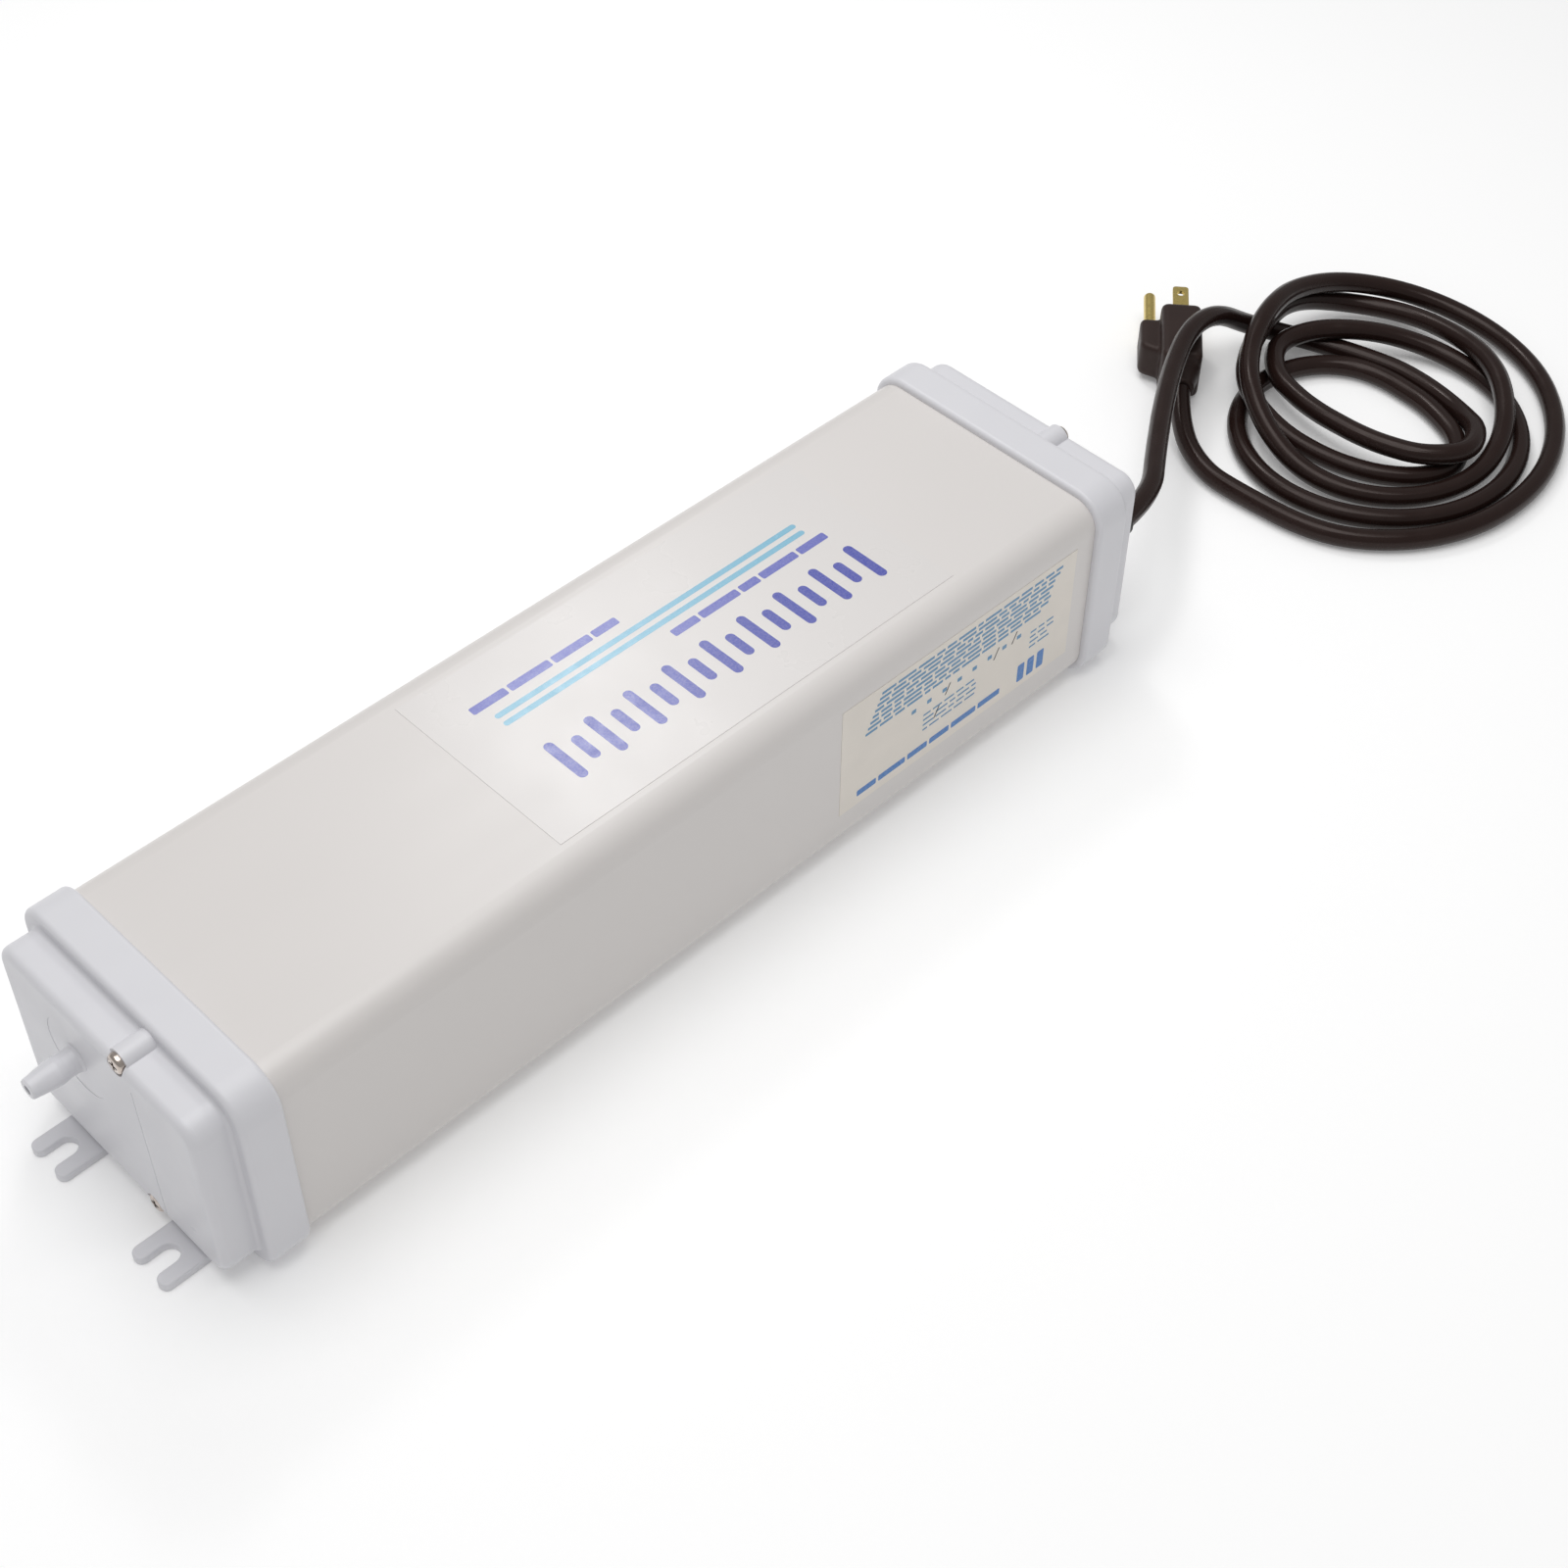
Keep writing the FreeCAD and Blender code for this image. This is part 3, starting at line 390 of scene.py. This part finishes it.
# The coil starts this many half directions after its first +Y, and stops this many before its last.
coil_start_step = 3
coil_end_steps = 4
# Places nearer than this many control points along the cord are one strand.
one_strand = 3
# This many of the lead's last points settle with the coil, and this many of the tail's don't.
lead_points_free = 2
tail_points_held = 2
cord_round_steps = 7
cord_long_steps = 8


def halfway(values, k):
    """Smooth value midway between two entries of a list, led by the entries beyond them."""
    outer = values[k - 1] + values[k + 2]
    inner = values[k] + values[k + 1]
    return (9 * inner - outer) / 16


def coil_points():
    """Points of the coil's turns, sixteen a turn, from the lead's end to the tail's start."""
    reaches = [reach for turn, _ in coil_turns for reach in turn]
    heights = [height for _, turn in coil_turns for height in turn]
    points = []
    for step in range(coil_start_step, 2 * len(reaches) - coil_end_steps):
        k = step // 2
        odd = step % 2
        reach = halfway(reaches, k) if odd else reaches[k]
        height = halfway(heights, k) if odd else heights[k]
        angle = math.pi / 2 - math.pi * step / directions
        points.append((coil_middle[0] + reach * math.cos(angle),
                       coil_middle[1] + reach * math.sin(angle),
                       max(height, floor_height)))
    return points


def along_spline(points):
    """Points on the quadratic spline of a list of control points, a few for each control point."""
    line = []
    last = len(points) - 3
    for k in range(last + 1):
        start = points[0] if k == 0 else (points[k] + points[k + 1]) / 2
        end = points[-1] if k == last else (points[k + 1] + points[k + 2]) / 2
        for t in np.arange(spline_steps) / spline_steps:
            line.append((1 - t) ** 2 * start + 2 * t * (1 - t) * points[k + 1] + t * t * end)
    return np.array(line)


def push_apart(line):
    """How far each point of the line moves so that strands lie on or beside each other."""
    push = np.zeros_like(line)
    away = line[:, None] - line[None]
    distance = np.linalg.norm(away, axis=2)
    touching = np.triu(distance < strand_gap, one_strand * spline_steps)
    for i, j in zip(*np.nonzero(touching)):
        x, y, z = away[i, j]
        if abs(z) > stacked_rise:
            upper = i if z > 0 else j
            rise = math.sqrt(max(strand_gap ** 2 - x * x - y * y, 0)) - abs(z)
            push[upper, 2] = max(push[upper, 2], rise)
        else:
            part = np.array((x, y, 0)) * (strand_gap / distance[i, j] - 1) / 2
            push[i] += part
            push[j] -= part
    return push


def settle(points, fixed_start, fixed_end):
    """Lets the coil's strands rest on and beside each other instead of in each other."""
    points = np.array(points, float)
    count = len(points)
    owner = np.repeat(np.arange(1, count - 1), spline_steps)
    for _ in range(settle_rounds):
        push = push_apart(along_spline(points))
        for k in range(fixed_start, count - fixed_end):
            own = push[owner == k]
            points[k] += settle_share * own[np.abs(own).sum(axis=1).argmax()]
        points[:, 2] = np.maximum(points[:, 2], floor_height)
    return points


def cord_route():
    """The cord's control points, from the bushing to the plug."""
    points = cord_lead_route + coil_points() + cord_tail_route[::-1]
    return settle(points, len(cord_lead_route) - lead_points_free, tail_points_held)


def make_cord():
    """Mains cord as one smooth round tube."""
    route = cord_route()
    curve = bpy.data.curves.new("mains_cord", "CURVE")
    curve.dimensions = "3D"
    curve.bevel_depth = cord_diameter / 2 * MM
    curve.bevel_resolution = cord_round_steps
    curve.resolution_u = cord_long_steps
    curve.use_fill_caps = True
    spline = curve.splines.new("NURBS")
    spline.points.add(len(route) - 1)
    for point, place in zip(spline.points, route):
        point.co = (*(place * MM), 1)
    spline.order_u = 3
    spline.use_endpoint_u = True
    cord = new_object("mains_cord", curve)
    return dress(cord, finishes["cord_jacket"], "housing", "cord_jacket",
                 "cord_lead", "cord_coil", "cord_tail")


cord = make_cord()


# ---------------------------------------------------------------- plug
# Millimetres in the plug's own frame: X towards the blades from the cord's end, Y towards the
# ground pin, Z up from the floor.
plug_angle = 40.0
blade_block = ((9.0, -8.2, 0.3), (43.5, 8.2, 22.6))
blade_block_edge = 2.8
ground_block = ((13.5, 0.0, 2.2), (38.5, 16.2, 17.5))
ground_block_edge = 2.2
ground_block_slant = 7.0
ground_block_slant_x = 18.5
relief_profile = [(0, 5.4), (3, 5.9), (6, 6.6), (9, 7.6), (16, 8.0), (20, 6.0)]
melt_voxel = 0.55
soften_rounds = 5
soften_factor = 0.5


def rounded_block(bm, low, high, radius, segments=4):
    """Block between two corners with all its edges rounded."""
    before = set(bm.verts)
    low = Vector(low)
    high = Vector(high)
    made = bmesh.ops.create_cube(bm, size=1.0)["verts"]
    for vert in made:
        vert.co = (low + high) / 2 + vert.co * (high - low)
    edges = list({edge for vert in made for edge in vert.link_edges})
    bmesh.ops.bevel(bm, geom=edges, offset=radius, segments=segments, profile=0.5, affect="EDGES")
    return [vert for vert in bm.verts if vert not in before]


def revolved(bm, profile, middle, steps=40):
    """Solid of revolution about an axis along X. The profile is (x, radius) from end to end."""
    rings = []
    for x, radius in profile:
        ring = []
        for k in range(steps):
            angle = 2 * math.pi * k / steps
            ring.append(bm.verts.new((x, middle[0] + radius * math.cos(angle),
                                      middle[1] + radius * math.sin(angle))))
        rings.append(ring)
    for first, second in zip(rings, rings[1:]):
        for k in range(steps):
            after = (k + 1) % steps
            bm.faces.new((first[k], first[after], second[after], second[k]))
    bm.faces.new(rings[0][::-1])
    bm.faces.new(rings[-1])


def plug_shape():
    """Blade block, ground block with a slanted end, and strain relief, all overlapping."""
    bm = bmesh.new()
    rounded_block(bm, *blade_block, blade_block_edge)
    for vert in rounded_block(bm, *ground_block, ground_block_edge):
        if vert.co.x < ground_block_slant_x:
            vert.co.x += ground_block_slant * max(vert.co.y, 0) / ground_block[1][1]
    revolved(bm, relief_profile, (0, plug_mid_z))
    return bm


def make_plug():
    """Plug body, melted into one moulding and turned into its place on the floor."""
    plug = mesh_object("plug_moulding", plug_shape())
    remesh = plug.modifiers.new("melt", "REMESH")
    remesh.mode = "VOXEL"
    remesh.voxel_size = melt_voxel
    smooth = plug.modifiers.new("soften", "SMOOTH")
    smooth.iterations = soften_rounds
    smooth.factor = soften_factor
    apply_modifiers(plug)
    start = Vector(cord_tail_route[0]) * MM
    turn = Matrix.Rotation(math.radians(plug_angle), 4, "Z")
    plug.data.transform(Matrix.Translation((start.x, start.y, 0)) @ turn @ Matrix.Scale(MM, 4))
    for polygon in plug.data.polygons:
        polygon.use_smooth = True
    return dress(plug, moulded_rubber(), "housing", "cord_jacket", "plug_body")


plug = make_plug()


# ---------------------------------------------------------------- labels
# Generic print in millimetres: plain bars, stripes and dashes in place of words and marks.
ink_lift = 0.02
dash_gap = 1.1
dash_seed = 7
corner_steps = 5
full_round = 0.5

# Top film, in X and Y: a row of upright bars, two stripes and two rows of dashes
title_x = (-36.0, 98.0)
title_y = -14.0
title_bars = 17
title_bar_width = 3.6
title_half_heights = (9.5, 6.0)
stripe_x = (-38.0, 92.0)
stripe_y = (10.4, 14.6)
stripe_width = 2.2
long_rows = [((-42, 27), 21.5), ((27, 96), 4.2)]
long_row_height = 3.4
long_dashes = (8, 18)

# Side label, in X and Z. A block is its ends, its top row's height, its number of rows, their pitch
# and how far each row drifts.
fine_block = ((67, 155), 63.8, 8, 2.05, 1.0)
fine_height = 1.15
fine_dashes = (2.5, 9)
small_blocks = [((88, 114), 39.0, 4, 2.3, 0), ((141, 153), 42.0, 4, 2.3, 0)]
small_height = 0.8
small_dashes = (2.2, 6)
box_row = [82 + 7.4 * k for k in range(8)]
box_width = 2.2
box_z = (43.4, 45.2)
bold_row = ((57, 127), 24.0)
bold_height = 2.7
bold_dashes = (6, 13)
block_row = [136, 141, 146]
block_width = 3.5
block_z = (21.5, 29.5)
tick_places = [(93, 34), (98, 41.5), (122, 41.5), (131, 43)]
tick_size = (0.7, 4.6)
tick_round = 0.3
tick_lean = 0.5


def ink(name, red, green, blue):
    """Printing ink with a fine speckle."""
    look = Surface(name, roughness=0.24)
    speckle = look.spread(look.noise(1500.0), 0.0, 0.10)
    look.colour(look.blend_colours(speckle, screen(red, green, blue), screen(0.86, 0.86, 0.88)))
    look.uneven_gloss(spread=0.04, scale=300.0)
    look.bumps(scale=1200.0, depth_mm=0.004)
    return look.material


def bar(x0, x1, y0, y1, round_share=0.2, lean=0.0):
    """Outline of a flat bar with rounded corners, as points in the label's plane."""
    radius = round_share * min(x1 - x0, y1 - y0)
    corners = [(x1 - radius, y1 - radius), (x0 + radius, y1 - radius),
               (x0 + radius, y0 + radius), (x1 - radius, y0 + radius)]
    points = []
    for quarter, (middle_x, middle_y) in enumerate(corners):
        for k in range(corner_steps + 1):
            angle = math.pi / 2 * (quarter + k / corner_steps)
            y = middle_y + radius * math.sin(angle)
            points.append((middle_x + radius * math.cos(angle) + lean * (y - y0), y))
    return points


def dashes(rng, ends, y, height, lengths):
    """Row of short bars of uneven length with even gaps."""
    row = []
    x, last = ends
    while x < last - lengths[0]:
        end = min(x + rng.uniform(*lengths), last)
        row.append(bar(x, end, y - height / 2, y + height / 2))
        x = end + dash_gap
    return row


def dash_block(rng, block, height, lengths):
    """Rows of dashes one under another."""
    (start, end), top, rows, pitch, drift = block
    made = []
    for k in range(rows):
        made += dashes(rng, (start - drift * k, end - drift * k), top - pitch * k, height, lengths)
    return made


def printed(name, outlines, to_space, material, slot):
    """Flat print on a label, from outlines in the label's plane."""
    bm = bmesh.new()
    for outline in outlines:
        bm.faces.new([bm.verts.new(Vector(to_space(x, y)) * MM) for x, y in outline])
    piece = mesh_object(name, bm, False)
    return dress(piece, material, "housing", slot)


def on_top(x, y):
    """Place on the top film."""
    return (x, y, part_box("top_label")[1].z / MM + ink_lift)


def on_side(x, z):
    """Place on the side label."""
    return (x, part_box("side_label")[0].y / MM - ink_lift, z)


def print_top_label():
    """Row of upright bars, two stripes and two rows of dashes."""
    bars = []
    pitch = (title_x[1] - title_x[0] - title_bar_width) / (title_bars - 1)
    for k in range(title_bars):
        x = title_x[0] + pitch * k
        half = title_half_heights[k % 2]
        bars.append(bar(x, x + title_bar_width, title_y - half, title_y + half, full_round))
    printed("print_title_bars", bars, on_top, ink("ink_deep_blue", 0.22, 0.255, 0.64), "label_film")
    half = stripe_width / 2
    stripes = [bar(*stripe_x, y - half, y + half, full_round) for y in stripe_y]
    printed("print_stripes", stripes, on_top, ink("ink_teal", 0.46, 0.70, 0.80), "label_film")
    rng = np.random.default_rng(dash_seed)
    rows = []
    for ends, y in long_rows:
        rows += dashes(rng, ends, y, long_row_height, long_dashes)
    printed("print_top_dashes", rows, on_top, ink("ink_soft_blue", 0.36, 0.385, 0.71), "label_film")


def print_side_label():
    """Blocks of fine dashes, a row of boxes, a bold row, three blocks and pen ticks."""
    rng = np.random.default_rng(dash_seed)
    fine = dash_block(rng, fine_block, fine_height, fine_dashes)
    for block in small_blocks:
        fine += dash_block(rng, block, small_height, small_dashes)
    fine += [bar(x, x + box_width, *box_z) for x in box_row]
    printed("print_fine_rows", fine, on_side, ink("ink_grey_blue", 0.27, 0.52, 0.69), "label_paper")
    bold = dashes(rng, *bold_row, bold_height, bold_dashes)
    bold += [bar(x, x + block_width, *block_z) for x in block_row]
    printed("print_bold_row", bold, on_side, ink("ink_clear_blue", 0.13, 0.44, 0.73), "label_paper")
    width, height = tick_size
    ticks = [bar(x, x + width, z, z + height, tick_round, tick_lean) for x, z in tick_places]
    printed("print_pen_ticks", ticks, on_side, ink("ink_pen", 0.16, 0.15, 0.15), "label_paper")


print_top_label()
print_side_label()


# ---------------------------------------------------------------- stage
floor_glow = 0.14
floor_size = 12.0
floor_drop = 0.2 * MM
surroundings = 0.37
# Each light's place and aim, its side in metres and its power in watts
lights = {
    "overhead": ((-0.12, 0.05, 1.6), (0, 0, 0), 1.3, 14.8),
    "behind": ((0.50, 0.56, 0.95), (-0.06, 0, 0.07), 0.45, 1.0),
    "bright": ((0.41, 0.52, 0.80), (-0.03, -0.02, 0.08), 0.14, 0.80),
}


def make_floor():
    """Plain white floor that glows a little, like a light table."""
    bm = bmesh.new()
    bmesh.ops.create_grid(bm, x_segments=2, y_segments=2, size=floor_size)
    floor = mesh_object("floor", bm, False)
    floor.location.z = -floor_drop
    look = Surface("floor_paper", roughness=0.85)
    look.clouds(screen(0.97, 0.97, 0.97), tint=0.01, scale=3.0)
    look.shader.inputs["Emission Color"].default_value = (1.0, 1.0, 1.0, 1.0)
    look.shader.inputs["Emission Strength"].default_value = floor_glow
    floor.data.materials.append(look.material)
    return floor


def make_light(name, place, aim, size, power):
    """Square soft light."""
    data = bpy.data.lights.new(name, "AREA")
    data.size = size
    data.energy = power
    light = bpy.data.objects.new(name, data)
    turn = (Vector(aim) - Vector(place)).to_track_quat("-Z", "Y")
    light.matrix_world = Matrix.LocRotScale(Vector(place), turn, None)
    bpy.context.scene.collection.objects.link(light)


def make_studio():
    """White surroundings, a large overhead light, a softer one behind and a small bright one."""
    world = bpy.data.worlds.new("studio")
    world.use_nodes = True
    background = world.node_tree.nodes["Background"]
    background.inputs["Color"].default_value = (1.0, 1.0, 1.0, 1.0)
    background.inputs["Strength"].default_value = surroundings
    bpy.context.scene.world = world
    bpy.context.scene.view_settings.view_transform = "Standard"
    for name, values in lights.items():
        make_light(name, *values)


make_floor()
make_studio()
